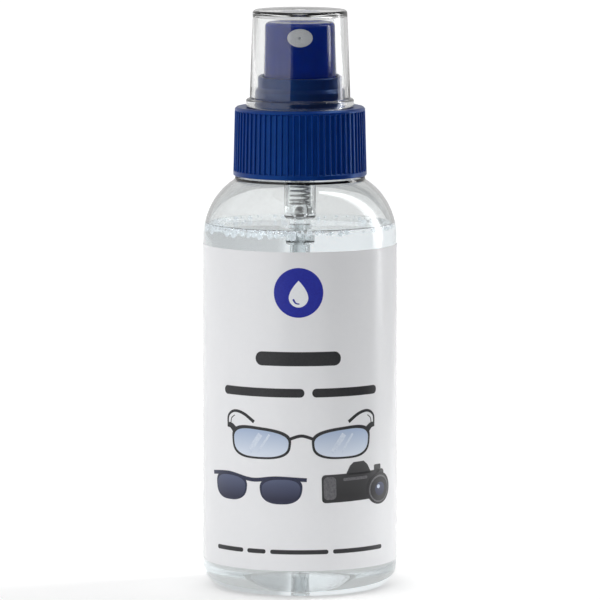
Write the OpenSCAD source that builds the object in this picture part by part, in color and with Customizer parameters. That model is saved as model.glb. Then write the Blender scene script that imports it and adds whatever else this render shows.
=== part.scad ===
// Lens cleaning spray: a round clear bottle with a full-wrap label, a ribbed screw closure,
// a fine mist pump with its actuator, and a clear overcap.
// +Z is up, the origin is the centre of the base, and the nozzle points along -Y.

/* [Bottle] */
// Outer diameter of the bottle body
body_d = 40; // [39:0.5:44]
// Wall thickness of the blown body
wall = 0.7; // [0.6:0.05:0.8]
// Radius of the shoulder's outer curve
shoulder_r = 14.2; // [14.1:0.1:14.6]
// Radius of the heel, where the wall turns under
heel_r = 4.5; // [3.8:0.1:5]
// Height of the neck's rim above the surface that the bottle stands on
rim_z = 95.6; // [95.4:0.1:96]
// How far the middle of the base is pushed up
push_up = 2.6; // [2:0.1:2.8]
// Height of the fluid's surface
fluid_z = 74.5; // [40:0.5:74.5]

/* [Label] */
// Lower edge of the label above the base
label_z = 5.8; // [5.4:0.1:10]
// Height of the label
label_h = 65.6; // [40:0.2:66]
// Thickness of the label
label_t = 0.08; // [0.05:0.01:0.12]

/* [Screw thread] */
// Outer diameter of the thread on the neck
thread_d = 23.6; // [23.4:0.1:23.8]
// Rise of the thread in one turn
pitch = 3.175; // [3:0.025:3.2]
// Turns of the thread
turns = 1.25; // [1:0.05:1.4]

/* [Closure] */
// Number of grip ribs round the closure
rib_count = 66; // [24:1:72]
// How far a rib stands out of the skirt
rib_out = 0.32; // [0.2:0.02:0.36]
// Height of the closure's tower above its deck
tower_h = 6.2; // [5.6:0.1:6.4]

/* [Overcap] */
// Height of the overcap
cap_h = 20; // [19.6:0.1:24]
// Outer radius of the overcap's top
cap_top_r = 9.75; // [9.7:0.05:9.9]

/* [Actuator and nozzle] */
// Height of the nozzle above the closure's deck
nozzle_h = 14.6; // [14.2:0.1:14.8]
// Width of the nozzle insert's oval face
nozzle_w = 5.1; // [4.6:0.1:5.4]
// Diameter of the spray orifice
orifice_d = 0.3; // [0.2:0.05:0.5]

/* [Pump] */
// Travel of the actuator
stroke = 4; // [3:0.1:4]
// Bore diameter of the pump barrel
barrel_d = 5.2; // [5.1:0.05:5.3]
// Outer diameter of the dip tube
tube_d = 3; // [2.8:0.05:3.1]
// Turns of the return spring
spring_turns = 9; // [6:0.5:9.5]

/* [Hidden] */
$fn = 96;
tiny = 0.01;
fit_gap = 0.02;        // radial gap of a running fit

// Bottle levels and radii
body_r = body_d / 2;
shoulder_z = rim_z - 23;
neck_r = 10.7;         // neck wall below the thread
neck_bore_r = 9;
ring_r = 13.5;         // transfer ring under the closure
ring_z = [rim_z - 11.25, rim_z - 10.45];
stand_r = 12.5;        // inner edge of the ring that the bottle stands on
dome_r = (stand_r * stand_r + push_up * push_up) / (2 * push_up);

// Stack of the closure, from the neck's rim up
gasket_t = 0.9;
flange_t = 1.1;
deck_t = 1.9;
flange_z = rim_z + gasket_t;
deck_under_z = flange_z + flange_t;
deck_z = deck_under_z + deck_t;
skirt_z = deck_z - 14.1;
seat_r = 10.95;        // pocket in the closure for the flange and the gasket
skirt_bore_r = thread_d / 2 + 0.35;
tower_bore_r = 7.75;
tower_top_z = deck_z + tower_h;

// Thread: the helix starts below the rim and both sides share its pitch
thread_z = rim_z - 8.1;
thread_steps = 48;     // rings in one turn
thread_fade = 30;      // degrees over which an end sinks into the wall

// Pump levels
barrel_r = barrel_d / 2;
barrel_wall = 0.65;
spigot_r = 2.2;        // spigot that holds the dip tube
barrel_floor_z = rim_z - 18.15;
barrel_low_z = barrel_floor_z - 1.05;
spigot_z = barrel_low_z - 4.9;
tube_top_z = barrel_low_z - 1.2;
tube_r = tube_d / 2;
tube_bore_r = 0.85;
tube_low_z = 4.2;
cup_r = 6.2;           // upper, wider part of the housing
cup_bore_r = 5.3;
cup_floor_z = rim_z - 3;
spring_seat_z = barrel_floor_z + 1.6;      // top of the ribs round the ball
head_z = spring_seat_z + 4.15 + stroke;    // underside of the valve rod's head
head_t = 1;
piston_z = head_z + head_t;
piston_h = 4;
sleeve_top_z = piston_z + 5.4;
stem_r = 1.8;
stem_bore_r = 0.9;
stem_low_z = piston_z + 3;
stem_flange_z = rim_z + 0.7;
stem_flange_t = 0.6;
stem_top_z = deck_z + 8.7;
seal_z = stem_flange_z + stem_flange_t + 0.05;
chaplet_top_z = deck_under_z + 1;
ball_r = 1.2;
seat_hole_r = 0.75;
seat_cone_h = 0.7;     // height of the 45 degree cone that the ball rests in
ball_z = barrel_floor_z - seat_cone_h - seat_hole_r + sqrt(2) * ball_r + fit_gap;
ball_travel = 1;
wire_r = 0.2;
spring_r = 1.95;
pressure_spring_r = 2.2;
pressure_turns = 3.5;

// Actuator levels
press_gap = 0.4;       // left under the actuator when it is pressed right down
act_low_z = deck_under_z + press_gap + stroke;
act_top_z = deck_z + 17.5;
act_low_r = 7.5;
act_top_r = 7.2;
act_edge_r = 0.9;
act_wall = 0.95;
post_r = 3;
post_low_z = chaplet_top_z + press_gap + stroke;
nozzle_z = deck_z + nozzle_h;
nozzle_ratio = 0.735;  // height of the insert's face over its width
pocket_floor_y = -4.3;
insert_back_y = -4.7;
pin_r = 1;

// Overcap
cap_top_z = deck_z + cap_h;
cap_low_r = 10.4;
cap_bead_r = 11.15;
cap_bead_h = 1.7;
bead_edge_r = 0.5;
cap_bore_low_r = 9.45;
cap_bore_top_r = 9.0;
cap_top_t = 0.9;
cap_edge_r = 0.6;
gate_r = 1.7;          // recess round the gate mark, with the nub left in it
gate_depth = 0.35;
gate_nub_r = 0.5;

// Ellipse of the given half width and half height
module ellipse(a, b) polygon([for (t = [0:9:351]) [a * cos(t), b * sin(t)]]);

// Ring between two radii and two heights
module ring(r_out, r_in, z0, z1) {
    translate([0, 0, z0]) difference() {
        cylinder(r = r_out, h = z1 - z0);
        translate([0, 0, -1]) cylinder(r = r_in, h = z1 - z0 + 2);
    }
}

// Cylinder along -Y from y0 to y1 at the nozzle's height
module front_rod(r, y0, y1) {
    translate([0, y0, nozzle_z]) rotate([90, 0, 0]) cylinder(r = r, h = y0 - y1, $fn = 48);
}

// Oval prism along -Y from y0 to y1 at the nozzle's height
module front_oval(a, b, y0, y1) {
    translate([0, y0, nozzle_z]) rotate([90, 0, 0]) linear_extrude(height = y0 - y1) ellipse(a, b);
}

// Coil of round wire between two heights, its end turns wound closer than the rest
module coil(mean_r, wire, z0, z1, n) {
    steps = 20;        // rings in one turn
    sides = 8;
    low = z0 + wire;
    rise = z1 - z0 - 2 * wire;
    total = round(n * steps);
    // Share of the rise reached after u of n turns: slow over the first and last turn
    function lift(u) = let (closed = 2.2 * wire, flat = closed / rise)
        u < 1 ? u * flat : u > n - 1 ? 1 - (n - u) * flat : flat + (u - 1) / (n - 2) * (1 - 2 * flat);
    points = [for (i = [0:total], k = [0:sides - 1])
        let (turn = 360 * i / steps, a = 360 * k / sides,
             r = mean_r + wire * cos(a), z = low + rise * lift(i / steps) + wire * sin(a))
        [r * cos(turn), r * sin(turn), z]];
    faces = concat(
        [[for (k = [0:sides - 1]) k]],
        [for (i = [0:total - 1], k = [0:sides - 1])
            let (a = i * sides, b = a + sides, m = (k + 1) % sides) [a + k, b + k, b + m, a + m]],
        [[for (k = [sides - 1:-1:0]) total * sides + k]]);
    polyhedron(points, faces, convexity = 10);
}

// Right-hand thread ridge from root_r to crest_r, starting at z0.
// root_w and crest_w are its axial widths, and sink is how far its root lies inside the wall.
module thread_ridge(root_r, crest_r, root_w, crest_w, sink, z0) {
    inward = crest_r < root_r;
    base_r = root_r + (inward ? sink : -sink);
    total = round(turns * thread_steps);
    fade_steps = thread_fade * thread_steps / 360;
    // Ridge height as a share of the full height; it is under the wall at both ends
    function share(i) = min(1, min(i, total - i) / fade_steps);
    points = [for (i = [0:total])
        let (turn = 360 * i / thread_steps, mid = z0 + pitch * i / thread_steps,
             top_r = base_r + (crest_r - base_r) * (0.1 + 0.9 * share(i)))
        for (p = [[base_r, -root_w / 2], [top_r, -crest_w / 2], [top_r, crest_w / 2], [base_r, root_w / 2]])
        [p[0] * cos(turn), p[0] * sin(turn), mid + p[1]]];
    side = [for (i = [0:total - 1], k = [0:3])
        let (a = 4 * i, b = a + 4, m = (k + 1) % 4) [a + k, a + m, b + m, b + k]];
    ends = [[3, 2, 1, 0], [for (k = [0:3]) 4 * total + k]];
    faces = concat(side, ends);
    polyhedron(points, inward ? [for (f = faces) [for (k = [len(f) - 1:-1:0]) f[k]]] : faces, convexity = 6);
}

// Half section of the bottle's body and neck, its walls moved in by inset
module bottle_section(inset, throat_r, top_z) {
    heel_x = body_r - heel_r;
    shoulder_x = body_r - shoulder_r;
    intersection() {
        union() {
            translate([heel_x, heel_r]) circle(r = heel_r - inset);
            translate([shoulder_x, shoulder_z]) circle(r = shoulder_r - inset);
            translate([0, inset]) square([heel_x, heel_r]);
            translate([0, heel_r]) square([body_r - inset, shoulder_z - heel_r]);
            translate([0, shoulder_z]) square([shoulder_x, shoulder_r - inset]);
            translate([0, shoulder_z]) square([throat_r, top_z - shoulder_z]);
        }
        square([body_r, top_z]);
    }
}

// Half section of the push-up in the base, grown by inset
module push_up_section(inset) {
    intersection() {
        translate([0, push_up - dome_r]) circle(r = dome_r + inset, $fn = 180);
        translate([0, -1]) square([body_r, push_up + inset + 2]);
    }
}

// Clear blown bottle with its threaded neck
module bottle() {
    color([0.86, 0.9, 0.92, 0.35]) {
        rotate_extrude() difference() {
            union() {
                bottle_section(0, neck_r, rim_z);
                translate([0, ring_z[0]]) square([ring_r, ring_z[1] - ring_z[0]]);
            }
            difference() {
                bottle_section(wall, neck_bore_r, rim_z + 1);
                push_up_section(wall + 0.2);
            }
            translate([0, rim_z - 20]) square([neck_bore_r, 30]);
            push_up_section(0);
        }
        thread_ridge(neck_r, thread_d / 2, 1.6, 0.7, 0.4, thread_z);
    }
}

// Printed label, wrapped right round the body with its butt joint at the back
module label() {
    joint_deg = 1.2;
    color([0.86, 0.87, 0.89])
        rotate([0, 0, 90 + joint_deg / 2])
            rotate_extrude(angle = 360 - joint_deg)
                translate([body_r, label_z]) square([label_t, label_h]);
}

// Cleaning fluid: it fills the bottle to its level, and leaves room for the pump
module cleaning_fluid() {
    gap = 0.05;
    color([0.8, 0.9, 0.95, 0.4]) difference() {
        rotate_extrude() difference() {
            intersection() {
                bottle_section(wall + gap, neck_bore_r - gap, rim_z);
                square([body_r, fluid_z]);
            }
            push_up_section(wall + 0.2 + gap);
        }
        cylinder(r = tube_r + 0.15, h = rim_z);
        translate([0, 0, spigot_z - 0.3]) cylinder(r = spigot_r + 0.15, h = rim_z);
    }
}

// Clear overcap with a bead round its foot and the gate mark in its top
module overcap() {
    color([0.92, 0.94, 0.95, 0.3]) rotate_extrude() difference() {
        union() {
            polygon([[0, deck_z], [cap_low_r, deck_z], [cap_low_r, deck_z + cap_bead_h],
                     [cap_top_r, cap_top_z - cap_edge_r], [cap_top_r - cap_edge_r, cap_top_z - cap_edge_r],
                     [0, cap_top_z - cap_edge_r]]);
            translate([cap_top_r - cap_edge_r, cap_top_z - cap_edge_r]) circle(r = cap_edge_r);
            translate([0, cap_top_z - cap_edge_r - 1]) square([cap_top_r - cap_edge_r, cap_edge_r + 1]);
            translate([0, deck_z]) square([cap_bead_r - bead_edge_r, cap_bead_h]);
            for (z = [bead_edge_r, cap_bead_h - bead_edge_r])
                translate([cap_bead_r - bead_edge_r, deck_z + z]) circle(r = bead_edge_r);
            translate([cap_bead_r - 1, deck_z + bead_edge_r]) square([1, cap_bead_h - 2 * bead_edge_r]);
        }
        polygon([[0, deck_z - 1], [cap_bore_low_r + 0.3, deck_z - tiny], [cap_bore_low_r, deck_z + 0.4],
                 [cap_bore_low_r, deck_z + 4.2], [cap_bore_top_r, cap_top_z - cap_top_t - 0.5],
                 [cap_bore_top_r - 0.5, cap_top_z - cap_top_t], [0, cap_top_z - cap_top_t]]);
        difference() {
            translate([0, cap_top_z - gate_depth]) square([gate_r, 1]);
            translate([0, cap_top_z - 1]) square([gate_nub_r, 0.9]);
        }
    }
}

// Outer half section of the actuator's shell, with a shallow dish in its top
module actuator_section() {
    edge_x = act_top_r - act_edge_r;
    edge_z = act_top_z - act_edge_r;
    dish_r = 30;
    dish_depth = 0.55;
    difference() {
        union() {
            polygon([[0, act_low_z], [act_low_r, act_low_z], [act_low_r, deck_z + 6], [act_top_r, edge_z],
                     [0, edge_z]]);
            translate([edge_x, edge_z]) intersection() {
                circle(r = act_edge_r);
                square(act_edge_r);
            }
            translate([0, edge_z - tiny]) square([edge_x, act_edge_r + tiny]);
        }
        translate([0, act_top_z + dish_r - dish_depth]) circle(r = dish_r, $fn = 180);
    }
}

// Actuator: finger button with a socket for the stem and a pocket for the nozzle insert
module actuator() {
    inner_top_z = act_top_z - 1.9;
    shell_r = act_top_r - act_wall;
    color([0.05, 0.15, 0.45]) difference() {
        rotate_extrude() actuator_section();
        difference() {
            rotate_extrude() polygon([[0, act_low_z - 1], [act_low_r - act_wall, act_low_z - 1],
                [act_low_r - act_wall, deck_z + 6], [shell_r, inner_top_z], [0, inner_top_z]]);
            translate([0, 0, post_low_z]) cylinder(r = post_r, h = act_top_z);
            front_rod(3.2, 0, -act_low_r - 1);
            for (a = [30, 150])
                rotate([0, 0, a]) translate([0, -0.35, post_low_z + 2.5]) cube([act_low_r, 0.7, act_top_z]);
        }
        translate([0, 0, post_low_z - 1]) cylinder(r = stem_r + fit_gap, h = stem_top_z - post_low_z + 1.05);
        translate([0, 0, post_low_z - tiny]) cylinder(r1 = stem_r + 0.4, r2 = stem_r + fit_gap, h = 0.5);
        translate([0, 0, post_low_z]) cylinder(r = 0.7, h = nozzle_z - 0.7 - post_low_z, $fn = 48);
        translate([0, 0, -1.3]) front_rod(0.55, 0, pocket_floor_y - 0.3);
        difference() {
            front_oval(nozzle_w / 2 + fit_gap, nozzle_w * nozzle_ratio / 2 + fit_gap,
                       pocket_floor_y, -act_low_r - 1);
            front_rod(pin_r, pocket_floor_y + 1, -6.35);
        }
    }
}

// Oval nozzle insert: a cup over the actuator's pin, its face flush with the button
module nozzle_insert() {
    face_r = act_top_r + 0.1;
    color([0.93, 0.94, 0.95]) difference() {
        intersection() {
            front_oval(nozzle_w / 2, nozzle_w * nozzle_ratio / 2, insert_back_y, -act_low_r - 1);
            translate([0, 0, nozzle_z - 4]) cylinder(r = face_r, h = 8);
        }
        front_rod(pin_r + 0.12, insert_back_y + 1, -6.5);
        front_rod(orifice_d / 2, insert_back_y, -act_low_r - 1);
        translate([0, -face_r + 0.35, nozzle_z]) rotate([90, 0, 0])
            cylinder(r1 = orifice_d / 2, r2 = 0.5, h = 0.4, $fn = 48);
    }
}

// Screw closure: a ribbed skirt, a deck that clamps the pump, and a tower that guides the actuator
module closure() {
    floor_top_r = 13.12;               // skirt's radius between the ribs
    floor_low_r = 13.46;
    band_low_z = skirt_z + 1;          // plain bands above and below the ribs
    band_low_r = floor_low_r + rib_out;
    band_top_z = deck_z - 0.7;
    band_top_r = floor_top_r + rib_out;
    tilt = atan((floor_low_r - floor_top_r) / (deck_z - skirt_z));
    rib_r = 0.24;
    rib_mid_r = (floor_top_r + floor_low_r) / 2 + rib_out - rib_r;
    rib_h = (band_top_z - band_low_z) / cos(tilt) + 0.4;
    tower_low_r = 9.35;
    tower_top_r = 8.7;
    color([0.04, 0.17, 0.42]) {
        difference() {
            union() {
                rotate_extrude() {
                    polygon([[0, skirt_z], [floor_low_r, skirt_z], [floor_top_r, deck_z - 0.3],
                             [floor_top_r - 0.3, deck_z], [0, deck_z]]);
                    polygon([[8, skirt_z], [band_low_r - 0.15, skirt_z], [band_low_r, skirt_z + 0.15],
                             [band_low_r, band_low_z - 0.1], [floor_low_r, band_low_z + 0.2],
                             [8, band_low_z + 0.2]]);
                    polygon([[8, band_top_z - 0.2], [floor_top_r, band_top_z - 0.2],
                             [band_top_r, band_top_z + 0.05], [band_top_r, deck_z - 0.35],
                             [band_top_r - 0.35, deck_z], [8, deck_z]]);
                    polygon([[0, deck_z - 1], [tower_low_r, deck_z - 1], [tower_low_r, deck_z + 3.2],
                             [tower_top_r, deck_z + 3.9], [tower_top_r, tower_top_z - 0.2],
                             [tower_top_r - 0.2, tower_top_z], [0, tower_top_z]]);
                }
                for (i = [0:rib_count - 1])
                    rotate([0, 0, 360 * (i + 0.5) / rib_count])
                        translate([rib_mid_r, 0, (band_low_z + band_top_z) / 2]) rotate([0, -tilt, 0])
                            cylinder(r = rib_r, h = rib_h, center = true, $fn = 24);
            }
            rotate_extrude() {
                polygon([[0, skirt_z - 1], [skirt_bore_r + 0.5, skirt_z - tiny],
                         [skirt_bore_r, skirt_z + 0.5], [skirt_bore_r, rim_z - 1.2],
                         [seat_r, rim_z - 1.2], [seat_r, deck_under_z], [0, deck_under_z]]);
                polygon([[0, deck_under_z - 1], [tower_bore_r, deck_under_z - 1],
                         [tower_bore_r, tower_top_z - 0.25], [tower_bore_r + 0.3, tower_top_z + tiny],
                         [0, tower_top_z + tiny]]);
            }
        }
        thread_ridge(skirt_bore_r, seat_r, 1.4, 0.6, 0.4, thread_z + pitch / 2 + 0.3);
    }
}

// Chaplet: the plug that closes the pump and guides the stem
module chaplet() {
    color([0.9, 0.92, 0.93]) difference() {
        union() {
            translate([0, 0, deck_under_z]) cylinder(r = cup_r, h = 0.8);
            translate([0, 0, deck_under_z]) cylinder(r = 3.6, h = chaplet_top_z - deck_under_z);
            translate([0, 0, rim_z - 2.4]) cylinder(r = cup_bore_r, h = deck_under_z - rim_z + 2.4);
        }
        translate([0, 0, rim_z - 3]) cylinder(r = cup_bore_r - 0.75, h = deck_under_z - rim_z + 3);
        translate([0, 0, rim_z]) cylinder(r = stem_r + 0.08, h = 10);
        for (a = [0:90:270])
            rotate([0, 0, a]) translate([4, -0.5, rim_z - 2.6]) cube([2, 1, 2.4]);
    }
}

// Soft ring under the chaplet, which seals the stem and stops its upward travel
module chaplet_seal() {
    color([0.8, 0.8, 0.78]) ring(cup_bore_r - 0.78, stem_r + fit_gap, seal_z, deck_under_z - tiny);
}

// Hollow stem: it carries the actuator and the pressure spring's upper seat
module stem() {
    color([0.94, 0.95, 0.96]) difference() {
        union() {
            translate([0, 0, stem_low_z]) cylinder(r = stem_r, h = stem_top_z - stem_low_z - 0.3);
            translate([0, 0, stem_top_z - 0.3]) cylinder(r1 = stem_r, r2 = stem_r - 0.3, h = 0.3);
            translate([0, 0, stem_flange_z]) cylinder(r = barrel_r - 0.1, h = stem_flange_t);
        }
        translate([0, 0, stem_low_z - 1])
            cylinder(r = stem_bore_r, h = stem_top_z - stem_low_z + 2, $fn = 48);
    }
}

// Valve rod: pressed into the stem, its flat head shuts the piston's bore from below
module valve_rod() {
    flute_r = 0.3;
    shaft_top_z = stem_low_z + 3.2;
    color([0.9, 0.91, 0.92]) difference() {
        union() {
            translate([0, 0, head_z - 0.8]) cylinder(r = 1.3, h = 0.9, $fn = 48);
            translate([0, 0, head_z]) cylinder(r = 2, h = 0.55, $fn = 64);
            translate([0, 0, head_z + 0.55]) cylinder(r1 = 2, r2 = 1.55, h = head_t - 0.55, $fn = 64);
            translate([0, 0, head_z + head_t])
                cylinder(r = stem_bore_r, h = shaft_top_z - head_z - head_t, $fn = 48);
        }
        for (a = [0:120:240])
            rotate([0, 0, a]) translate([stem_bore_r, 0, stem_low_z - 1.2])
                cylinder(r = flute_r, h = 6, $fn = 24);
    }
}

// Piston: two sealing lips in the barrel, and a sleeve that slides on the stem
module piston() {
    lip_r = barrel_r - 0.03;
    neck_in = 0.45;
    color([0.95, 0.95, 0.93]) rotate_extrude() difference() {
        union() {
            translate([0, piston_z + fit_gap]) square([lip_r - neck_in, piston_h - fit_gap]);
            translate([0, piston_z + fit_gap]) square([lip_r, 0.7]);
            translate([0, piston_z + piston_h - 0.7]) square([lip_r, 0.7]);
            translate([0, piston_z]) square([stem_r + 0.5, sleeve_top_z - piston_z]);
        }
        translate([0, piston_z - 1]) square([stem_bore_r + 0.35, 4]);
        translate([0, stem_low_z - 0.75]) square([stem_r + 0.03, 10]);
        translate([0, piston_z - 1]) square([3, 1 + fit_gap]);
    }
}

// Light spring that holds the piston shut on the valve rod until the dose is under pressure
module pressure_spring() {
    color([0.7, 0.72, 0.75])
        coil(pressure_spring_r, wire_r, sleeve_top_z + fit_gap, stem_flange_z - fit_gap, pressure_turns);
}

// Return spring in the barrel, from the ribs round the ball to the valve rod's head
module return_spring() {
    color([0.7, 0.72, 0.75])
        coil(spring_r, wire_r, spring_seat_z + fit_gap, head_z - fit_gap, spring_turns);
}

// Ball of the inlet valve
module inlet_ball() {
    color([0.75, 0.77, 0.8]) translate([0, 0, ball_z]) sphere(r = ball_r, $fn = 64);
}

// Pump housing: flange, cup, barrel, ball seat and the spigot for the dip tube
module pump_housing() {
    barrel_out_r = barrel_r + barrel_wall;
    seat_top_r = seat_hole_r + seat_cone_h;
    cage_r = ball_r + 0.07;            // inside of the ribs that guide the ball
    cage_z = barrel_floor_z - 0.25;
    color([0.85, 0.88, 0.9, 0.5]) {
        rotate_extrude() difference() {
            polygon([[0, spigot_z], [spigot_r - 0.2, spigot_z], [spigot_r, spigot_z + 0.2],
                     [spigot_r, barrel_low_z], [barrel_out_r - 0.4, barrel_low_z],
                     [barrel_out_r, barrel_low_z + 0.4], [barrel_out_r, cup_floor_z - 3],
                     [cup_r, cup_floor_z - 0.9], [cup_r, flange_z], [10.6, flange_z],
                     [10.6, deck_under_z], [0, deck_under_z]]);
            translate([0, spigot_z - 1]) square([tube_r, tube_top_z - spigot_z + 1]);
            translate([0, spigot_z - 1]) square([tube_bore_r, barrel_low_z - spigot_z + 1]);
            polygon([[0, barrel_low_z - 1], [seat_hole_r, barrel_low_z - 1],
                     [seat_hole_r, barrel_floor_z - seat_cone_h], [seat_top_r, barrel_floor_z],
                     [seat_top_r, barrel_floor_z + 1], [0, barrel_floor_z + 1]]);
            translate([0, barrel_floor_z]) square([barrel_r, 40]);
            translate([0, cup_floor_z]) square([cup_bore_r, 40]);
        }
        for (a = [60:120:300])
            rotate([0, 0, a]) rotate_extrude(angle = 40) {
                translate([cage_r, cage_z]) square([0.28, 2.7]);
                translate([cage_r, cage_z]) square([barrel_r - ball_r, spring_seat_z - cage_z]);
                translate([1, ball_z + ball_travel + 0.68]) square([0.55, 0.5]);
            }
    }
}

// Flat gasket between the neck's rim and the pump's flange
module neck_gasket() {
    color([0.88, 0.88, 0.86]) ring(neck_r, cup_r + 0.15, rim_z, flange_z);
}

// Dip tube, cut at a slant at its foot
module dip_tube() {
    color([0.9, 0.93, 0.95, 0.5]) difference() {
        ring(tube_r, tube_bore_r, tube_low_z, tube_top_z);
        translate([0, 0, tube_low_z - 0.2]) rotate([0, 35, 0]) translate([-5, -5, -6]) cube([10, 10, 6.6]);
    }
}

bottle();
label();
cleaning_fluid();
overcap();
actuator();
nozzle_insert();
closure();
chaplet();
chaplet_seal();
stem();
valve_rod();
piston();
pressure_spring();
return_spring();
inlet_ball();
pump_housing();
neck_gasket();
dip_tube();
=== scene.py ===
# Lens cleaning spray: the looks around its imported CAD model.
# Levels, radii and outlines are in mm; node scales, bump depths and the studio are in metres.
import math
import random

import bmesh
import bpy
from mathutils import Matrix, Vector


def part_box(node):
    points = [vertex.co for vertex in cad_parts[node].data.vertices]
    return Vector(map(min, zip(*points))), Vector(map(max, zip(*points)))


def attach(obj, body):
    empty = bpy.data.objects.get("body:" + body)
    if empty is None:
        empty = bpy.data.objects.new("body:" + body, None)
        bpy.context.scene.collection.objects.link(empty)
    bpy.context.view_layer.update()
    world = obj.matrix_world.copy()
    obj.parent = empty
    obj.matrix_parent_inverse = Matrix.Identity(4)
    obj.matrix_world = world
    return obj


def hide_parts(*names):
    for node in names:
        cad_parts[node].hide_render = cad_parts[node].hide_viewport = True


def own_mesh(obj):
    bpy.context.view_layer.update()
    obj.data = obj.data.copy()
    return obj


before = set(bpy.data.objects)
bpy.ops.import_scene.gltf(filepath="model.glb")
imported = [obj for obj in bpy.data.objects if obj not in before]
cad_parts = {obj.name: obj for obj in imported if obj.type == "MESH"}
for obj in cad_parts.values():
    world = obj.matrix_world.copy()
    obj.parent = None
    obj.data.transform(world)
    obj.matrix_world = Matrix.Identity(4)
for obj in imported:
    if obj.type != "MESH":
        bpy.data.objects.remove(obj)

bpy.context.view_layer.update()
MM = 0.001
TURN = 2 * math.pi
SEGMENTS = 192


# Levels and radii in mm, read from the CAD nodes' boxes where a box gives them

def low_mm(node):
    return [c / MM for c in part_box(node)[0]]


def high_mm(node):
    return [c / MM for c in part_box(node)[1]]


BODY_R = high_mm("bottle")[0]
RIM_Z = high_mm("bottle")[2]
WALL = 0.7
SHOULDER_R = 14.2
SHOULDER_X = BODY_R - SHOULDER_R
SHOULDER_Z = RIM_Z - 23
HEEL_R = 4.5
HEEL_X = BODY_R - HEEL_R
PUSH_UP = 2.6
STAND_R = 12.5
DOME_R = (STAND_R ** 2 + PUSH_UP ** 2) / (2 * PUSH_UP)
DOME_Z = PUSH_UP - DOME_R
RING_R = 13.5
RING_TOP_Z = RIM_Z - 10.45
NECK_R = 10.7
NECK_BORE_R = 9
THREAD_Z = RIM_Z - 8.1
THREAD_HEIGHT = 1.1
PITCH = 3.175
THREAD_TURNS = 1.25
FLUID_Z = high_mm("cleaning_fluid")[2]
LABEL_R = high_mm("label")[0]
LABEL_LOW_Z = low_mm("label")[2]
LABEL_HIGH_Z = high_mm("label")[2]
CAP_LOW_Z = low_mm("overcap")[2]
CAP_TOP_Z = high_mm("overcap")[2]
CAP_BEAD_R = high_mm("overcap")[0]


# Mesh helpers

def arc(centre_r, centre_z, radius, start, end, steps):
    """Points of an arc in the (r, z) plane: 0 degrees points outward and 90 points up."""
    points = []
    for i in range(steps + 1):
        a = math.radians(start + (end - start) * i / steps)
        points.append((centre_r + radius * math.cos(a), centre_z + radius * math.sin(a)))
    return points


def rounded(corners, steps=6):
    """A closed outline whose corners with a third value, a radius, are rounded."""
    points = []
    count = len(corners)
    for i, corner in enumerate(corners):
        if len(corner) == 2:
            points.append(corner)
            continue
        here = Vector(corner[:2])
        back = (Vector(corners[i - 1][:2]) - here).normalized()
        ahead = (Vector(corners[(i + 1) % count][:2]) - here).normalized()
        half = back.angle(ahead) / 2
        reach = corner[2] / math.tan(half)
        centre = here + (back + ahead).normalized() * (corner[2] / math.sin(half))
        start = here + back * reach - centre
        sweep = start.angle_signed(here + ahead * reach - centre)
        for k in range(steps + 1):
            a = -sweep * k / steps
            side = start.x * math.cos(a) - start.y * math.sin(a)
            rise = start.x * math.sin(a) + start.y * math.cos(a)
            points.append((centre.x + side, centre.y + rise))
    return points


def finish_mesh(name, verts_mm, faces, material, sharp=35):
    """A mesh object from points in mm, smooth but for edges sharper than an angle."""
    mesh = bpy.data.meshes.new(name)
    mesh.from_pydata([(x * MM, y * MM, z * MM) for x, y, z in verts_mm], [], faces)
    bm = bmesh.new()
    bm.from_mesh(mesh)
    bmesh.ops.recalc_face_normals(bm, faces=bm.faces[:])
    bm.to_mesh(mesh)
    bm.free()
    mesh.shade_smooth()
    mesh.set_sharp_from_angle(angle=math.radians(sharp))
    mesh.materials.append(material)
    piece = bpy.data.objects.new(name, mesh)
    bpy.context.scene.collection.objects.link(piece)
    return piece


def lathe(profile, growth=None, segments=SEGMENTS):
    """A closed (r, z) profile turned about Z. growth(z, angle) may add to the radius."""
    verts = []
    rows = []
    for r, z in profile:
        if r < 1e-6:
            rows.append([len(verts)] * segments)
            verts.append((0, 0, z))
            continue
        rows.append(range(len(verts), len(verts) + segments))
        for k in range(segments):
            a = TURN * k / segments
            wide = r + growth(r, z, a) if growth else r
            verts.append((wide * math.cos(a), wide * math.sin(a), z))
    faces = []
    for i, low in enumerate(rows):
        high = rows[(i + 1) % len(rows)]
        for k in range(segments):
            m = (k + 1) % segments
            corners = list(dict.fromkeys((low[k], low[m], high[m], high[k])))
            if len(corners) > 2:
                faces.append(corners)
    return verts, faces


def place(piece, body, slot, *nodes):
    """Rides a piece on its body and hides the CAD nodes that it stands for. Its finish, slot, is not used.
    """
    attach(piece, body)
    if nodes:
        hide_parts(*nodes)
    return piece


# Material helpers

def new_material(name, colour, roughness, **values):
    """A Principled material, with constant values set on its own sockets."""
    material = bpy.data.materials.new(name)
    material.use_nodes = True
    shader = material.node_tree.nodes["Principled BSDF"]
    shader.inputs["Base Color"].default_value = (*colour, 1)
    shader.inputs["Roughness"].default_value = roughness
    for socket, value in values.items():
        shader.inputs[socket.replace("_", " ")].default_value = value
    return material, material.node_tree, shader


def noise(tree, scale, detail=3.0, stretch=(1, 1, 1)):
    """Noise over object coordinates, scale in features per metre."""
    coords = tree.nodes.new("ShaderNodeTexCoord")
    mapping = tree.nodes.new("ShaderNodeMapping")
    mapping.inputs["Scale"].default_value = stretch
    texture = tree.nodes.new("ShaderNodeTexNoise")
    texture.inputs["Scale"].default_value = scale
    texture.inputs["Detail"].default_value = detail
    tree.links.new(coords.outputs["Object"], mapping.inputs["Vector"])
    tree.links.new(mapping.outputs["Vector"], texture.inputs["Vector"])
    return texture.outputs["Fac"]


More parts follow.
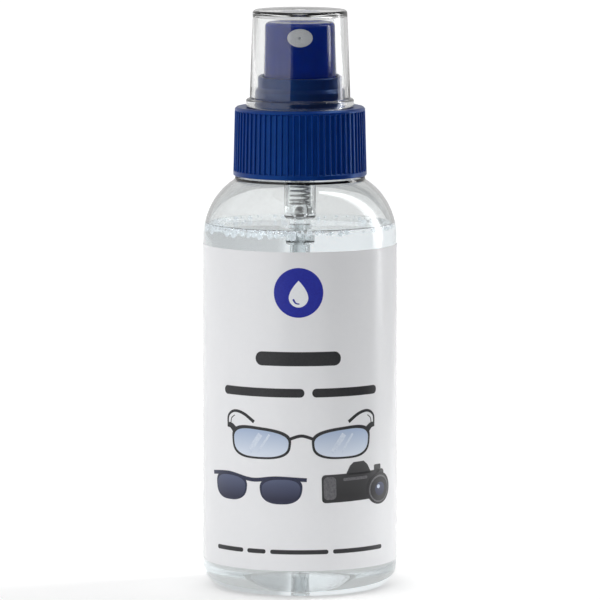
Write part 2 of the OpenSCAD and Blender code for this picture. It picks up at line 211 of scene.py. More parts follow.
def spread(tree, value, low, high, start=0.3, end=0.7):
    """The value mapped from start..end to low..high."""
    node = tree.nodes.new("ShaderNodeMapRange")
    node.inputs["From Min"].default_value = start
    node.inputs["From Max"].default_value = end
    node.inputs["To Min"].default_value = low
    node.inputs["To Max"].default_value = high
    tree.links.new(value, node.inputs["Value"])
    return node.outputs["Result"]


def blend_colours(tree, value, first, second):
    """A colour between two, by a value from 0 to 1."""
    node = tree.nodes.new("ShaderNodeMix")
    node.data_type = "RGBA"
    node.inputs["A"].default_value = (*first, 1)
    node.inputs["B"].default_value = (*second, 1)
    tree.links.new(value, node.inputs["Factor"])
    return node.outputs["Result"]


def add_bump(tree, shader, height, depth):
    """Bump on the shader, depth in metres."""
    node = tree.nodes.new("ShaderNodeBump")
    node.inputs["Strength"].default_value = 1.0
    node.inputs["Distance"].default_value = depth
    tree.links.new(height, node.inputs["Height"])
    tree.links.new(node.outputs["Normal"], shader.inputs["Normal"])


def plastic(name, dark, light, rough, grain, depth, **values):
    """Moulded plastic: clouded colour, uneven gloss and a fine mould texture."""
    material, tree, shader = new_material(name, dark, rough[0], **values)
    cloud = spread(tree, noise(tree, 350), 0, 1)
    tree.links.new(blend_colours(tree, cloud, dark, light), shader.inputs["Base Color"])
    gloss = spread(tree, noise(tree, 900, 4), rough[0], rough[1])
    tree.links.new(gloss, shader.inputs["Roughness"])
    add_bump(tree, shader, noise(tree, grain, 2), depth)
    return material


def clear_plastic(name, colour, ior, rough, wave, depth, stretch=(1, 1, 1)):
    """Clear plastic with the slow waviness and faint handling marks of a moulding."""
    material, tree, shader = new_material(name, colour, rough[0], IOR=ior, Transmission_Weight=1.0)
    gloss = spread(tree, noise(tree, 700, 5), rough[0], rough[1], 0.45, 0.8)
    tree.links.new(gloss, shader.inputs["Roughness"])
    add_bump(tree, shader, noise(tree, wave, 1, stretch), depth)
    return material


def ink(name, first, second, rough=0.32, axis="Z", span=None):
    """Printed ink: a gradient along one axis, or two close tones mottled by a fine noise."""
    material, tree, shader = new_material(name, first, rough)
    if span:
        coords = tree.nodes.new("ShaderNodeTexCoord")
        split = tree.nodes.new("ShaderNodeSeparateXYZ")
        tree.links.new(coords.outputs["Object"], split.inputs["Vector"])
        share = spread(tree, split.outputs[axis], 0, 1, span[0] * MM, span[1] * MM)
    else:
        share = spread(tree, noise(tree, 2500, 2), 0, 1)
    tree.links.new(blend_colours(tree, share, first, second), shader.inputs["Base Color"])
    gloss = spread(tree, noise(tree, 1800, 3), rough - 0.04, rough + 0.05)
    tree.links.new(gloss, shader.inputs["Roughness"])
    return material


def steel(name, tone, rough, stretch):
    """Bright steel with fine drawing marks."""
    material, tree, shader = new_material(name, (tone, tone, tone * 0.97), rough[0], Metallic=1.0)
    marks = spread(tree, noise(tree, 3000, 3, stretch), rough[0], rough[1])
    tree.links.new(marks, shader.inputs["Roughness"])
    low = tone * 0.8
    share = spread(tree, noise(tree, 500), 0, 1)
    tint = blend_colours(tree, share, (tone, tone, tone), (low, low, low * 0.97))
    tree.links.new(tint, shader.inputs["Base Color"])
    return material


def label_film():
    """White film that scatters light just under its surface."""
    material, tree, shader = new_material("label_film_look", (0.87, 0.88, 0.9), 0.18)
    shader.inputs["Specular IOR Level"].default_value = 1.0
    shader.inputs["Subsurface Weight"].default_value = 1.0
    shader.inputs["Subsurface Radius"].default_value = (1.0, 1.0, 1.0)
    shader.inputs["Subsurface Scale"].default_value = 0.00004
    mottle = spread(tree, noise(tree, 900, 3), 0, 1)
    tone = blend_colours(tree, mottle, (0.865, 0.873, 0.895), (0.875, 0.882, 0.903))
    tree.links.new(tone, shader.inputs["Base Color"])
    gloss = spread(tree, noise(tree, 700, 4), 0.16, 0.2)
    tree.links.new(gloss, shader.inputs["Roughness"])
    add_bump(tree, shader, noise(tree, 1500, 2), 0.000002)
    return material


def label_inside():
    """The film's glued side. Its glow is painted light that stands for the light that comes through the
    film, painted dark towards -X and bright towards +X.
    """
    material, tree, shader = new_material("label_inside_painted_light_look", (0.8, 0.81, 0.83), 0.4)
    coords = tree.nodes.new("ShaderNodeTexCoord")
    split = tree.nodes.new("ShaderNodeSeparateXYZ")
    tree.links.new(coords.outputs["Object"], split.inputs["Vector"])
    # Painted light and shade: the glow turns from dark at -X to bright at +X.
    side = spread(tree, split.outputs["X"], 0, 1, -2.2 * MM, -1.4 * MM)
    glow = blend_colours(tree, side, (0.45, 0.455, 0.46), (0.92, 0.93, 0.945))
    tree.links.new(glow, shader.inputs["Emission Color"])
    shader.inputs["Emission Strength"].default_value = 1.0
    gloss = spread(tree, noise(tree, 700, 4), 0.35, 0.5)
    tree.links.new(gloss, shader.inputs["Roughness"])
    return material


def foam_film():
    """Soapy film: clear with a milky share, and a faint painted glow."""
    material, tree, shader = new_material("foam_look", (0.95, 0.97, 0.98), 0.05, IOR=1.33)
    shader.inputs["Transmission Weight"].default_value = 0.5
    # Painted light: a faint glow on the film, though it is no lamp.
    shader.inputs["Emission Color"].default_value = (0.9, 0.95, 1, 1)
    shader.inputs["Emission Strength"].default_value = 0.22
    gloss = spread(tree, noise(tree, 2000, 3), 0.03, 0.12)
    tree.links.new(gloss, shader.inputs["Roughness"])
    return material


def gasket_foam():
    """Closed-cell foam."""
    material, tree, shader = new_material("gasket_foam_look", (0.86, 0.86, 0.83), 0.75)
    coords = tree.nodes.new("ShaderNodeTexCoord")
    cells = tree.nodes.new("ShaderNodeTexVoronoi")
    cells.inputs["Scale"].default_value = 5000
    tree.links.new(coords.outputs["Object"], cells.inputs["Vector"])
    tone = blend_colours(tree, cells.outputs["Distance"], (0.88, 0.88, 0.85), (0.72, 0.72, 0.7))
    tree.links.new(tone, shader.inputs["Base Color"])
    add_bump(tree, shader, cells.outputs["Distance"], 0.00006)
    return material


def floor_material():
    """Plain white paper sweep."""
    material, tree, shader = new_material("floor_paper", (0.93, 0.93, 0.93), 0.9)
    shader.inputs["Specular IOR Level"].default_value = 0.1
    share = spread(tree, noise(tree, 40, 3), 0, 1)
    tone = blend_colours(tree, share, (0.925, 0.925, 0.925), (0.94, 0.94, 0.94))
    tree.links.new(tone, shader.inputs["Base Color"])
    shader.inputs["Emission Color"].default_value = (1, 1, 1, 1)
    shader.inputs["Emission Strength"].default_value = 0.37
    return material


# Pieces

def thread_growth(r, z, angle):
    """How far the neck's thread stands out of its wall at this height and angle."""
    if r < NECK_R - 0.01 or z < THREAD_Z - 1 or r > NECK_R + 0.01:
        return 0
    out = 0
    for turn in (0, 1):
        total = angle + TURN * turn
        if total > THREAD_TURNS * TURN:
            continue
        offset = abs(z - THREAD_Z - PITCH * total / TURN)
        flank = min(1, max(0, (0.8 - offset) / 0.45))
        fade = min(1, min(total, THREAD_TURNS * TURN - total) / math.radians(30))
        out = max(out, THREAD_HEIGHT * flank * flank * (3 - 2 * flank) * fade)
    return out


def shoulder_angle(r, radius):
    return math.degrees(math.acos((r - SHOULDER_X) / radius))


def dome_points(grow, floor_z, outward):
    """The push-up's dome from the axis to where it meets floor_z, or back."""
    radius = DOME_R + grow
    reach = math.degrees(math.acos((floor_z - DOME_Z) / radius))
    if outward:
        return arc(0, DOME_Z, radius, 90, 90 - reach, 16)
    return arc(0, DOME_Z, radius, 90 - reach, 90, 16)


def make_bottle(material):
    inner = SHOULDER_R - WALL
    ring = shoulder_angle(RING_R, SHOULDER_R)
    above = math.degrees(math.asin((RING_TOP_Z - SHOULDER_Z) / SHOULDER_R))
    profile = dome_points(0, 0, True)[:-1]
    profile += rounded([(STAND_R - 1, 0.3), (STAND_R, 0, 0.8), (STAND_R + 1, 0)])[1:-1]
    profile += arc(HEEL_X, HEEL_R, HEEL_R, -90, 0, 20)
    profile += [(BODY_R, z) for z in (20, 40, 60)]
    profile += arc(SHOULDER_X, SHOULDER_Z, SHOULDER_R, 0, ring, 28)
    profile += [(RING_R, RING_TOP_Z - 0.3), (RING_R - 0.1, RING_TOP_Z - 0.08), (RING_R - 0.3, RING_TOP_Z)]
    profile += arc(SHOULDER_X, SHOULDER_Z, SHOULDER_R, above, shoulder_angle(NECK_R, SHOULDER_R), 6)
    neck_low = THREAD_Z - 1
    rows = 76
    profile += [(NECK_R, neck_low + (RIM_Z - 0.4 - neck_low) * i / rows) for i in range(rows + 1)]
    profile += [(NECK_R - 0.12, RIM_Z - 0.1), (NECK_R - 0.4, RIM_Z)]
    profile += [(NECK_BORE_R + 0.3, RIM_Z), (NECK_BORE_R, RIM_Z - 0.3)]
    profile += arc(SHOULDER_X, SHOULDER_Z, inner, shoulder_angle(NECK_BORE_R, inner), 0, 32)
    profile += [(BODY_R - WALL, z) for z in (60, 40, 20)]
    profile += arc(HEEL_X, HEEL_R, HEEL_R - WALL, 0, -90, 20)
    profile += dome_points(WALL + 0.2, WALL, False)
    verts, faces = lathe(profile, thread_growth)
    piece = finish_mesh("bottle_shell", verts, faces, material)
    return place(piece, "bottle", "clear_bottle", "bottle")


def make_fluid(material):
    """Fluid that fills the tube too, and reaches into both walls, so that no gap of air shows."""
    wet = 0.1
    inset = WALL - wet
    shoulder = SHOULDER_R - inset
    climb = 1.2
    top = math.degrees(math.asin((FLUID_Z + climb - SHOULDER_Z) / shoulder))
    profile = dome_points(WALL + 0.2 - wet, inset, True)
    profile += arc(HEEL_X, HEEL_R, HEEL_R - inset, -90, 0, 20)
    profile += [(BODY_R - inset, z) for z in (20, 40, 60)]
    profile += arc(SHOULDER_X, SHOULDER_Z, shoulder, 0, top, 10)
    wall_r = profile[-1][0]
    for i in range(1, 25):
        away = 6 * (i / 24) ** 2
        profile.append((wall_r - away, FLUID_Z + climb * math.exp(-away / 0.9)))
    spigot_r = 2.15
    for i in range(8):
        away = 2.5 * (1 - i / 7) ** 2
        profile.append((spigot_r + away, FLUID_Z + 0.6 * math.exp(-away / 0.7)))
    spigot_z = low_mm("pump_housing")[2]
    tube_r = high_mm("dip_tube")[0] - 0.05
    profile += [(spigot_r, spigot_z - 0.05), (tube_r, spigot_z - 0.05), (tube_r, 4), (0, 4)]
    verts, faces = lathe(profile)
    column_r = tube_r - 0.37
    column = lathe([(0, 4.1), (column_r, 4.1), (column_r, spigot_z), (0, spigot_z)])
    faces += [[i + len(verts) for i in face] for face in column[1]]
    verts += column[0]
    piece = finish_mesh("fluid_fill", verts, faces, material)
    return place(piece, "bottle", "fluid", "cleaning_fluid")


def make_overcap(material):
    top_r = 9.75
    foot_r = 10.4
    bore_r = 9.45
    bead_top = CAP_LOW_Z + 1.7
    roof = CAP_TOP_Z - 0.9
    gate_z = CAP_TOP_Z - 0.35
    profile = rounded([
        (9.75, CAP_LOW_Z, 0.12), (CAP_BEAD_R, CAP_LOW_Z, 0.45), (CAP_BEAD_R, bead_top, 0.5),
        (foot_r, bead_top, 0.2),
        (top_r, CAP_TOP_Z, 0.7), (1.7, CAP_TOP_Z, 0.12), (1.65, gate_z, 0.1), (0.55, gate_z, 0.1),
        (0.5, gate_z + 0.25, 0.1), (0, gate_z + 0.25), (0, roof), (9.0, roof, 0.7),
        (bore_r, CAP_LOW_Z + 4.2, 2), (bore_r, CAP_LOW_Z + 0.4, 0.2)])
    verts, faces = lathe(profile)
    piece = finish_mesh("overcap_shell", verts, faces, material)
    return place(piece, "overcap", "clear_overcap", "overcap")


def make_label(material, inside):
    """The film round the body, with its butt joint at the middle of the back."""
    inner = LABEL_R - 0.11
    edge = 0.03
    section = [(inner, LABEL_LOW_Z), (LABEL_R - edge, LABEL_LOW_Z), (LABEL_R, LABEL_LOW_Z + edge)]
    section += [(LABEL_R, LABEL_LOW_Z + (LABEL_HIGH_Z - LABEL_LOW_Z) * i / 12) for i in range(1, 12)]
    section += [(LABEL_R, LABEL_HIGH_Z - edge), (LABEL_R - edge, LABEL_HIGH_Z), (inner, LABEL_HIGH_Z)]
    joint = math.radians(0.6)
    steps = 240
    start = TURN / 4 + joint / 2
    verts = []
    for i in range(steps + 1):
        a = start + (TURN - joint) * i / steps
        verts += [(r * math.cos(a), r * math.sin(a), z) for r, z in section]
    count = len(section)
    faces = [list(range(count)), list(range(steps * count, (steps + 1) * count))]
    for i in range(steps):
        for k in range(count):
            a = i * count + k
            b = i * count + (k + 1) % count
            faces.append([a, b, b + count, a + count])
    piece = finish_mesh("label_wrap", verts, faces, material)
    piece.data.materials.append(inside)
    for face in piece.data.polygons:
        if face.center.xy.length < (inner + edge) * MM:
            face.material_index = 1
    return place(piece, "bottle", "label_film", "label")


def make_spring(name, node, mean_r, wire_r, turns, material):
    """A coil of round wire with closed ends, between the heights of its CAD node."""
    low = low_mm(node)[2] + wire_r
    rise = high_mm(node)[2] - wire_r - low
    steps = 36
    sides = 12
    flat = 2.2 * wire_r
    verts = []
    for i in range(int(turns * steps) + 1):
        u = i / steps
        if u < 1:
            lift = u * flat
        elif u > turns - 1:
            lift = rise - (turns - u) * flat
        else:
            lift = flat + (u - 1) / (turns - 2) * (rise - 2 * flat)
        a = TURN * u
        for k in range(sides):
            b = TURN * k / sides
            r = mean_r + wire_r * math.cos(b)
            verts.append((r * math.cos(a), r * math.sin(a), low + lift + wire_r * math.sin(b)))
    rings = len(verts) // sides
    faces = [list(range(sides)), list(range((rings - 1) * sides, rings * sides))]
    for i in range(rings - 1):
        for k in range(sides):
            a = i * sides + k
            b = i * sides + (k + 1) % sides
            faces.append([a, b, b + sides, a + sides])
    return finish_mesh(name, verts, faces, material, 60)


def place_springs(material):
    """Each coil rides on its body, the pump or the plunger, with a mesh of its own."""
    wire_r = 0.2
    piece = make_spring("return_coil", "return_spring", 1.95, wire_r, 9, material)
    place(piece, "pump", "spring_steel", "return_spring")
    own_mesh(piece)
    piece = make_spring("pressure_coil", "pressure_spring", 2.2, wire_r, 3.5, material)
    place(piece, "plunger", "spring_steel", "pressure_spring")
    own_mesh(piece)


def add_bubble(bm, centre, radius, skin):
    """A bubble: a sphere of film with a smaller one turned inside out in it."""
    for r, inward in ((radius, False), (radius - skin, True)):
        made = bmesh.ops.create_icosphere(bm, subdivisions=2, radius=r)
        bmesh.ops.translate(bm, verts=made["verts"], vec=centre)
        if inward:
            faces = list({f for v in made["verts"] for f in v.link_faces})
            bmesh.ops.reverse_faces(bm, faces=faces)


def make_foam(material):
    """Small bubbles left by shaking, gathered along the wall and mostly at the front left."""
    chance = random.Random(11)
    bm = bmesh.new()
    taken = []
    wall_r = BODY_R - WALL - 0.15
    skin_share = 0.15
    for _ in range(90):
        radius = chance.uniform(0.3, 0.85)
        a = math.radians(chance.uniform(186, 268))
        r = wall_r - radius
        spot = Vector((r * math.cos(a), r * math.sin(a), FLUID_Z + 0.5 - radius * 0.8))
        if any((spot - other).length < 0.8 * (radius + size) for other, size in taken):
            continue
        taken.append((spot, radius))
        add_bubble(bm, spot * MM, radius * MM, skin_share * radius * MM)
    skin_share = 0.12
    for _ in range(1500):
        radius = 0.2 + 0.5 * chance.random() ** 2
        degrees = chance.uniform(0, 360)
        facing = math.cos(math.radians(degrees - 228))
        if chance.random() > 0.1 + 0.9 * max(0, facing) ** 2:
            continue
        away = radius + 2.6 * chance.random() ** 2.5
        r = wall_r - away
        a = math.radians(degrees)
        z = FLUID_Z + 1.0 * math.exp(-away / 0.9) + 0.25 * radius
        spot = Vector((r * math.cos(a), r * math.sin(a), z))
        if any((spot - other).length < radius + size for other, size in taken):
            continue
        taken.append((spot, radius))
        add_bubble(bm, spot * MM, radius * MM, skin_share * radius * MM)
        if len(taken) > 150:
            break
    mesh = bpy.data.meshes.new("foam_bubbles")
    bm.to_mesh(mesh)
    bm.free()
    mesh.shade_smooth()
    mesh.materials.append(material)
    piece = bpy.data.objects.new("foam_bubbles", mesh)
    bpy.context.scene.collection.objects.link(piece)
    return place(piece, "bottle", "fluid")


# The label's print: plain generic shapes as (s, z) outlines in mm, s running round the body from its front

LAYER = 0.012


def disc(s, z, a, b=None, steps=48):
    b = b or a
    return [(s + a * math.cos(TURN * k / steps), z + b * math.sin(TURN * k / steps)) for k in range(steps)]


def box_outline(s0, z0, s1, z1, radius, lean=0.0):
    """A rectangle with round corners, turned by lean degrees about its middle."""
    points = rounded([(s0, z0, radius), (s1, z0, radius), (s1, z1, radius), (s0, z1, radius)], 5)
    return turned(points, (s0 + s1) / 2, (z0 + z1) / 2, lean)


def turned(points, s, z, lean):
    a = math.radians(lean)
    out = []
    for x, y in points:
        dx = x - s
        dy = y - z
        out.append((s + dx * math.cos(a) - dy * math.sin(a), z + dx * math.sin(a) + dy * math.cos(a)))
    return out


def lens_outline(s, z, a, b, power, slant, taper, mirror=1):
    """A spectacle lens: a soft rectangle whose top slopes and whose foot is narrower."""
    points = []
    for k in range(56):
        t = TURN * k / 56
        c = math.cos(t)
        d = math.sin(t)
        x = a * math.copysign(abs(c) ** (2 / power), c)
        y = b * math.copysign(abs(d) ** (2 / power), d)
        x *= 1 - taper * (0.5 - y / (2 * b))
        y += slant * x * (0.5 + y / (2 * b))
        points.append((s + mirror * x, z + y))
    return points if mirror > 0 else points[::-1]


def curve(points, steps=8):
    """A smooth line through the points."""
    ends = [points[0]] + list(points) + [points[-1]]
    out = []
    for i in range(len(points) - 1):
        p0, p1, p2, p3 = (Vector(p) for p in ends[i:i + 4])
        for k in range(steps):
            t = k / steps
            q = 2 * p1 + (p2 - p0) * t + (2 * p0 - 5 * p1 + 4 * p2 - p3) * t * t
            q += (3 * p1 - p0 - 3 * p2 + p3) * t * t * t
            out.append(tuple(q / 2))
    return out + [tuple(points[-1])]


def stroke(points, width, end_width=None):
    """The outline of a line with this width, which may taper to end_width."""
    end_width = end_width or width
    line = curve(points)
    left = []
    right = []
    for i, here in enumerate(line):
        before = Vector(line[max(0, i - 1)])
        after = Vector(line[min(len(line) - 1, i + 1)])
        side = (after - before).normalized().orthogonal()
        half = (width + (end_width - width) * i / (len(line) - 1)) / 2
        left.append(tuple(Vector(here) + side * half))
        right.append(tuple(Vector(here) - side * half))
    return left + right[::-1]


def flat_print(outline):
    """The outline filled with triangles and cut every mm of s: its points, faces and open edges."""
    bm = bmesh.new()
    face = bm.faces.new([bm.verts.new((s, z, 0)) for s, z in outline])
    bmesh.ops.triangulate(bm, faces=[face])
    first = math.ceil(min(s for s, _ in outline))
    last = math.floor(max(s for s, _ in outline))
    for cut in range(first, last + 1):
        geometry = bm.verts[:] + bm.edges[:] + bm.faces[:]
        bmesh.ops.bisect_plane(bm, geom=geometry, dist=1e-5, plane_co=(cut, 0, 0), plane_no=(1, 0, 0))
    bm.verts.index_update()
    points = [(v.co.x, v.co.y) for v in bm.verts]
    faces = [[v.index for v in f.verts] for f in bm.faces]
    edges = [(e.verts[0].index, e.verts[1].index) for e in bm.edges if e.is_boundary]
    bm.free()
    return points, faces, edges


def make_print(name, outlines, layer, material):
    """One piece of print: each outline is a thin closed solid bent round the label."""
    verts = []
    faces = []
    for outline in outlines:
        points, flat, edges = flat_print(outline)
        base = len(verts)
        count = len(points)
        for r in (LABEL_R - 0.02, LABEL_R + LAYER * layer):
            for s, z in points:
                a = s / LABEL_R
                verts.append((r * math.sin(a), -r * math.cos(a), z))
        faces += [[base + i for i in f] for f in flat]
        faces += [[base + count + i for i in f] for f in flat]
        faces += [[base + i, base + j, base + count + j, base + count + i] for i, j in edges]
    piece = finish_mesh(name, verts, faces, material, 30)
    return place(piece, "bottle", "label_film")


def drop_outline(s, z, size):
    """A water drop with its tip up."""
    points = []
    for k in range(48):
        t = TURN * k / 48
        width = math.cos(t) * (1 if math.sin(t) < 0 else (1 - math.sin(t) ** 2.2) ** 0.5)
        height = math.sin(t) if math.sin(t) < 0 else 1.75 * math.sin(t) ** 1.25
        points.append((s + size * width, z + size * height))
    return points


def print_emblem(inks):
    s = -0.3
    z = 63.1
    make_print("print_roundel", [disc(s, z, 5.1)], 1, inks["blue"])
    make_print("print_drop", [drop_outline(s, z - 1.0, 2.0)], 2, inks["white"])
    shade = stroke([(s - 1.1, z - 1.3), (s - 0.6, z - 2.1), (s + 0.2, z - 2.3)], 0.4, 0.2)
    make_print("print_drop_shade", [shade], 3, inks["blue"])


def bar_row(z, height, spans):
    return [box_outline(s0, z - height / 2, s1, z + height / 2, height * 0.48) for s0, s1 in spans]


def print_bars(inks):
    """Rounded bars where a label has its lines of words."""
    footer = [(-20.0, -12.4), (-11.4, -7.2), (-6.2, 5.9), (6.9, 19.8)]
    make_print("print_heading", bar_row(49.5, 2.9, [(-9.4, 8.6)]), 1, inks["black"])
    make_print("print_subheading", bar_row(42.5, 1.8, [(-17.5, 0.9), (2.5, 17.8)]), 1, inks["black"])
    make_print("print_footer", bar_row(9.7, 0.9, footer), 1, inks["black"])


def print_spectacles(inks):
    s = 0.3
    z = 31.95
    rims = []
    glasses = []
    shines = []
    for side in (-1, 1):
        centre = s + side * 8.85
        rims.append(lens_outline(centre, z + 0.1, 7.05, 3.3, 3.0, 0.09, 0.1, side))
        glasses.append(lens_outline(centre, z, 6.5, 2.78, 2.8, 0.09, 0.1, side))
        hinge = [(s + side * 14.9, 34.4), (s + side * 15.9, 35.2), (s + side * 17.0, 35.3)]
        rims.append(stroke(hinge, 1.4, 0.9))
        temple = [(s + side * 16.8, 35.4), (s + side * 16.7, 37.1), (s + side * 15.6, 38.1)]
        temple += [(s + side * 14.1, 38.3), (s + side * 12.2, 37.7), (s + side * 10.1, 36.3)]
        rims.append(stroke(temple, 0.42, 0.7))
        inner = [(s + side * 16.0, 35.5), (s + side * 15.8, 36.7), (s + side * 14.9, 37.4)]
        rims.append(stroke(inner, 0.25, 0.18))
        for start, width in ((-2.4, 1.1), (-0.4, 0.45)):
            shines.append(stroke([(centre + start, z - 1.9), (centre + start + 2.6, z + 1.9)], width))
    rims.append(stroke([(s - 2.5, 33.0), (s, 33.7), (s + 2.5, 33.0)], 0.65))
    make_print("print_spectacle_frame", rims, 1, inks["black"])
    make_print("print_spectacle_lenses", glasses, 2, inks["lens"])
    make_print("print_spectacle_shine", shines, 3, inks["pale"])


def print_sunglasses(inks):
    frames = [lens_outline(-15.9, 22.7, 4.75, 2.8, 2.6, 0.03, 0.14, -1),
              lens_outline(-4.0, 22.4, 4.85, 2.85, 2.6, 0.03, 0.16, 1),
              stroke([(-21.6, 24.9), (-16.0, 25.3), (-10.2, 24.4), (-5.0, 24.9), (1.4, 24.6)], 0.8)]
    lenses = [lens_outline(-15.9, 22.6, 4.3, 2.35, 2.5, 0.03, 0.14, -1),
              lens_outline(-4.0, 22.25, 4.35, 2.4, 2.5, 0.03, 0.16, 1)]
    make_print("print_sunglass_frame", frames, 1, inks["navy"])
    make_print("print_sunglass_lenses", lenses, 2, inks["dark_lens"])


def print_camera(inks):
    body = [box_outline(4.5, 19.9, 20.6, 25.7, 0.8, 1.2),
            [(9.7, 25.3), (10.7, 27.2), (11.6, 27.9), (14.2, 28.0), (15.2, 27.2), (16.4, 25.3)],
            box_outline(17.2, 25.2, 19.4, 26.9, 0.3)]
    make_print("print_camera_body", body, 1, inks["charcoal"])
    trim = [box_outline(4.9, 20.4, 7.6, 25.1, 0.9, 1.2), box_outline(9.2, 24.2, 15.2, 24.8, 0.25, 1.2)]
    make_print("print_camera_grip", trim, 2, inks["grey"])
    s = 18.9
    z = 21.9
    make_print("print_camera_lens", [disc(s, z, 3.9, 3.3)], 3, inks["black"])
    make_print("print_camera_ring", [disc(s + 0.1, z - 0.1, 3.3, 2.8)], 4, inks["grey"])
    make_print("print_camera_tube", [disc(s + 0.15, z - 0.15, 2.95, 2.5)], 5, inks["black"])
    make_print("print_camera_glass", [disc(s + 0.25, z - 0.2, 1.6, 1.4)], 6, inks["dark_lens"])
    make_print("print_camera_shine", [disc(s - 0.3, z + 0.35, 0.5, 0.4, 24)], 7, inks["pale"])


def print_back(inks):
    """Faint lines on the part of the label that faces away."""
    chance = random.Random(5)
    half = math.pi * LABEL_R
    lines = []
    for row in range(15):
        z = 60 - 2.2 * row
        lines += bar_row(z, 0.6, [(half - 24, half - 8 - 6 * chance.random())])
    for row in range(11):
        z = 60 - 2.2 * row
        lines += bar_row(z, 0.6, [(-half + 8, -half + 24 - 7 * chance.random())])
    make_print("print_back_lines", lines, 1, inks["grey"])


# Materials for the pieces and for the CAD nodes that stay

def make_inks():
    return {
        "black": ink("ink_black", (0.012, 0.012, 0.015), (0.02, 0.02, 0.024)),
        "blue": ink("ink_blue", (0.006, 0.012, 0.30), (0.008, 0.02, 0.36)),
        "white": ink("ink_white", (0.84, 0.86, 0.9), (0.88, 0.9, 0.92)),
        "navy": ink("ink_navy", (0.012, 0.016, 0.045), (0.02, 0.025, 0.07)),
        "charcoal": ink("ink_charcoal", (0.02, 0.02, 0.022), (0.055, 0.055, 0.06), span=(21, 28)),
        "grey": ink("ink_grey", (0.09, 0.09, 0.1), (0.16, 0.16, 0.17)),
        "pale": ink("ink_pale", (0.6, 0.68, 0.82), (0.72, 0.79, 0.9)),
        "lens": ink("ink_lens", (0.72, 0.79, 0.9), (0.42, 0.52, 0.7), span=(29.5, 34.5)),
        "dark_lens": ink("ink_dark_lens", (0.014, 0.016, 0.05), (0.09, 0.11, 0.2), span=(20.5, 25)),
    }


def natural_plastic(name, clear, rough, **values):
    """Unpigmented polyolefin: milky, so it scatters part of the light that enters."""
    material, tree, shader = new_material(name, (0.95, 0.965, 0.97), rough[0], IOR=1.49, **values)
    shader.inputs["Transmission Weight"].default_value = clear
    gloss = spread(tree, noise(tree, 600, 4), rough[0], rough[1])
    tree.links.new(gloss, shader.inputs["Roughness"])
    add_bump(tree, shader, noise(tree, 500, 2), 0.00001)
    return material


def dress_cad_nodes():
    """Gives each CAD node that stays its material."""
    housing = natural_plastic("natural_polypropylene_look", 1.0, (0.04, 0.1))
    tube = natural_plastic("natural_tube_look", 0.95, (0.08, 0.2))
    light = (0.88, 0.9, 0.93), (0.92, 0.94, 0.96)
    insert = plastic("white_insert_look", *light, (0.25, 0.35), 2500, 4e-6)
    light = (0.78, 0.8, 0.82), (0.84, 0.86, 0.87)
    white = plastic("white_polypropylene_look", *light, (0.3, 0.42), 2000, 5e-6)
    light = (0.82, 0.83, 0.84), (0.88, 0.88, 0.88)
    acetal = plastic("white_acetal_look", *light, (0.28, 0.38), 1800, 5e-6)
    light = (0.8, 0.8, 0.77), (0.86, 0.86, 0.83)
    soft = plastic("white_polyethylene_look", *light, (0.4, 0.55), 1500, 5e-6)
    light = (0.62, 0.62, 0.6), (0.7, 0.7, 0.67)
    rubber = plastic("seal_rubber_look", *light, (0.6, 0.75), 3000, 1e-5)
    deep = {"Subsurface_Weight": 0.4, "Subsurface_Scale": 0.0015, "Subsurface_Radius": (0.05, 0.3, 1.0)}
    blues = (0.0002, 0.028, 0.33), (0.0003, 0.033, 0.37)
    actuator = plastic("blue_actuator_look", *blues, (0.05, 0.1), 1400, 2e-6, **deep)
    blues = (0.0004, 0.019, 0.15), (0.0007, 0.024, 0.18)
    deep["Specular_Tint"] = (0.1, 0.36, 1.0, 1.0)
    deep["Specular_IOR_Level"] = 1.0
    closure = plastic("blue_closure_look", *blues, (0.28, 0.34), 1600, 3e-6, **deep)
    ball = steel("ball_steel_look", 0.66, (0.05, 0.12), (1, 1, 1))
    looks = {
        "pump_housing": housing, "dip_tube": tube, "nozzle_insert": insert, "chaplet": white,
        "stem": acetal, "valve_rod": acetal, "piston": soft, "chaplet_seal": rubber,
        "actuator": actuator, "closure": closure, "inlet_ball": ball, "neck_gasket": gasket_foam(),
    }
    for node, material in looks.items():
        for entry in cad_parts[node].material_slots:
            entry.material = material


# Studio

def make_camera():
    data = bpy.data.cameras.new("camera")
    data.lens = 397.4
    data.sensor_width = 36
    data.clip_start = 0.05
    camera = bpy.data.objects.new("camera", data)
    camera.location = (0, -1.3605, 0.2120)
    aim = Vector((0, 0, 0.0594)) - camera.location
    camera.rotation_euler = aim.to_track_quat("-Z", "Y").to_euler()
    bpy.context.scene.collection.objects.link(camera)
    bpy.context.scene.camera = camera


def math_node(tree, operation, first, second=None):
    node = tree.nodes.new("ShaderNodeMath")
    node.operation = operation
    for socket, value in zip(node.inputs, (first, second)):
        if value is None:
            continue
        if isinstance(value, (int, float)):
            socket.default_value = value
        else:
            tree.links.new(value, socket)
    return node.outputs["Value"]


def step_up(tree, value, edge, soft):
    node = tree.nodes.new("ShaderNodeMapRange")
    node.interpolation_type = "SMOOTHSTEP"
    node.inputs["From Min"].default_value = edge - soft
    node.inputs["From Max"].default_value = edge + soft
    tree.links.new(value, node.inputs["Value"])
    return node.outputs["Result"]


def window(tree, value, low, high, soft):
    """1 between low and high, and 0 outside."""
    rise = step_up(tree, value, low, soft)
    fall = math_node(tree, "SUBTRACT", 1.0, step_up(tree, value, high, soft))
    return math_node(tree, "MULTIPLY", rise, fall)


def patch(tree, azimuth, elevation, sides, heights, soft):
    across = window(tree, azimuth, sides[0], sides[1], soft)
    up = window(tree, elevation, heights[0], heights[1], soft * 2)
    return math_node(tree, "MULTIPLY", across, up)


def towards(tree, base, share, level):
    """The base moved to a level by a share."""
    keep = math_node(tree, "MULTIPLY", base, math_node(tree, "SUBTRACT", 1.0, share))
    return math_node(tree, "ADD", keep, math_node(tree, "MULTIPLY", share, level))


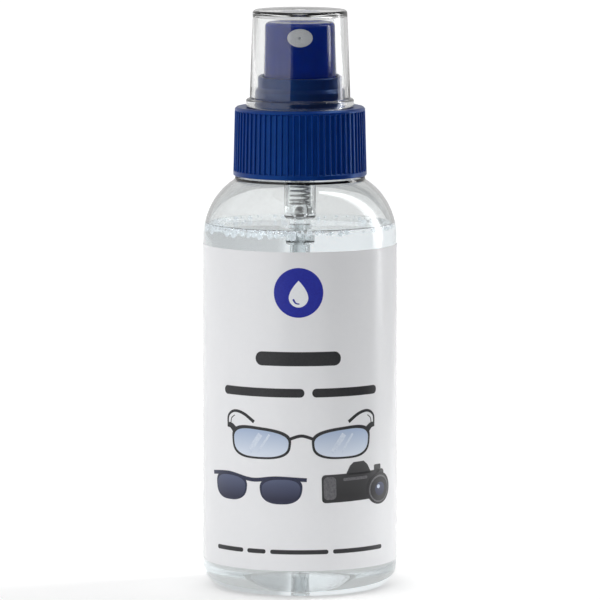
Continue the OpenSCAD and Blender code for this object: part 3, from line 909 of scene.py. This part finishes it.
def make_world():
    """A white studio: softbox on the left, bright strip at the right, dark in front, dim above right."""
    world = bpy.data.worlds.new("studio")
    bpy.context.scene.world = world
    world.use_nodes = True
    tree = world.node_tree
    tree.nodes.clear()
    coords = tree.nodes.new("ShaderNodeTexCoord")
    split = tree.nodes.new("ShaderNodeSeparateXYZ")
    tree.links.new(coords.outputs["Generated"], split.inputs["Vector"])
    front = math_node(tree, "MULTIPLY", split.outputs["Y"], -1.0)
    azimuth = math_node(tree, "DEGREES", math_node(tree, "ARCTAN2", split.outputs["X"], front))
    elevation = math_node(tree, "DEGREES", math_node(tree, "ARCSINE", split.outputs["Z"]))
    level = towards(tree, 0.8, patch(tree, azimuth, elevation, (-60, 15), (30, 100), 6), 1.35)
    level = towards(tree, level, patch(tree, azimuth, elevation, (15, 150), (26, 100), 6), 0.25)
    level = towards(tree, level, patch(tree, azimuth, elevation, (-23, 118), (-60, 18), 1.2), 0.03)
    level = towards(tree, level, patch(tree, azimuth, elevation, (-84, -23), (-30, 70), 1.2), 1.1)
    level = towards(tree, level, patch(tree, azimuth, elevation, (98, 118), (-5.4, 75), 0.3), 3.2)
    level = towards(tree, level, patch(tree, azimuth, elevation, (106, 114), (-5.4, 75), 0.3), 8.0)
    path = tree.nodes.new("ShaderNodeLightPath")
    level = towards(tree, level, path.outputs["Is Camera Ray"], 1.0)
    background = tree.nodes.new("ShaderNodeBackground")
    tree.links.new(level, background.inputs["Strength"])
    output = tree.nodes.new("ShaderNodeOutputWorld")
    tree.links.new(background.outputs["Background"], output.inputs["Surface"])


def make_floor():
    """A white floor, shorter at the front and the right, where the room is dark."""
    left, right, front, back = -0.6, 0.2, -0.45, 2.5
    corners = [(left, front, 0), (right, front, 0), (right, back, 0), (left, back, 0)]
    mesh = bpy.data.meshes.new("floor")
    mesh.from_pydata(corners, [], [(0, 1, 2, 3)])
    mesh.materials.append(floor_material())
    floor = bpy.data.objects.new("floor", mesh)
    bpy.context.scene.collection.objects.link(floor)


def make_pieces():
    pet = clear_plastic("clear_bottle_look", (0.855, 0.868, 0.868), 1.57, (0.0, 0.03), 110, 0.00003)
    styrene = clear_plastic("clear_overcap_look", (0.95, 0.955, 0.955), 1.5, (0.0, 0.04), 160, 0.00002,
                            (1, 1, 0.3))
    water = clear_plastic("fluid_look", (0.97, 0.985, 0.99), 1.36, (0.0, 0.001), 60, 0.00001)
    make_bottle(pet)
    make_fluid(water)
    make_foam(foam_film())
    make_overcap(styrene)
    make_label(label_film(), label_inside())
    place_springs(steel("spring_steel_look", 0.6, (0.16, 0.3), (1, 1, 12)))


def make_label_print():
    inks = make_inks()
    print_emblem(inks)
    print_bars(inks)
    print_spectacles(inks)
    print_sunglasses(inks)
    print_camera(inks)
    print_back(inks)


make_camera()
make_world()
make_floor()
make_pieces()
make_label_print()
dress_cad_nodes()
bpy.context.scene.view_settings.view_transform = "Standard"
bpy.context.scene.cycles.max_bounces = 24
bpy.context.scene.cycles.transmission_bounces = 24

bpy.context.view_layer.update()
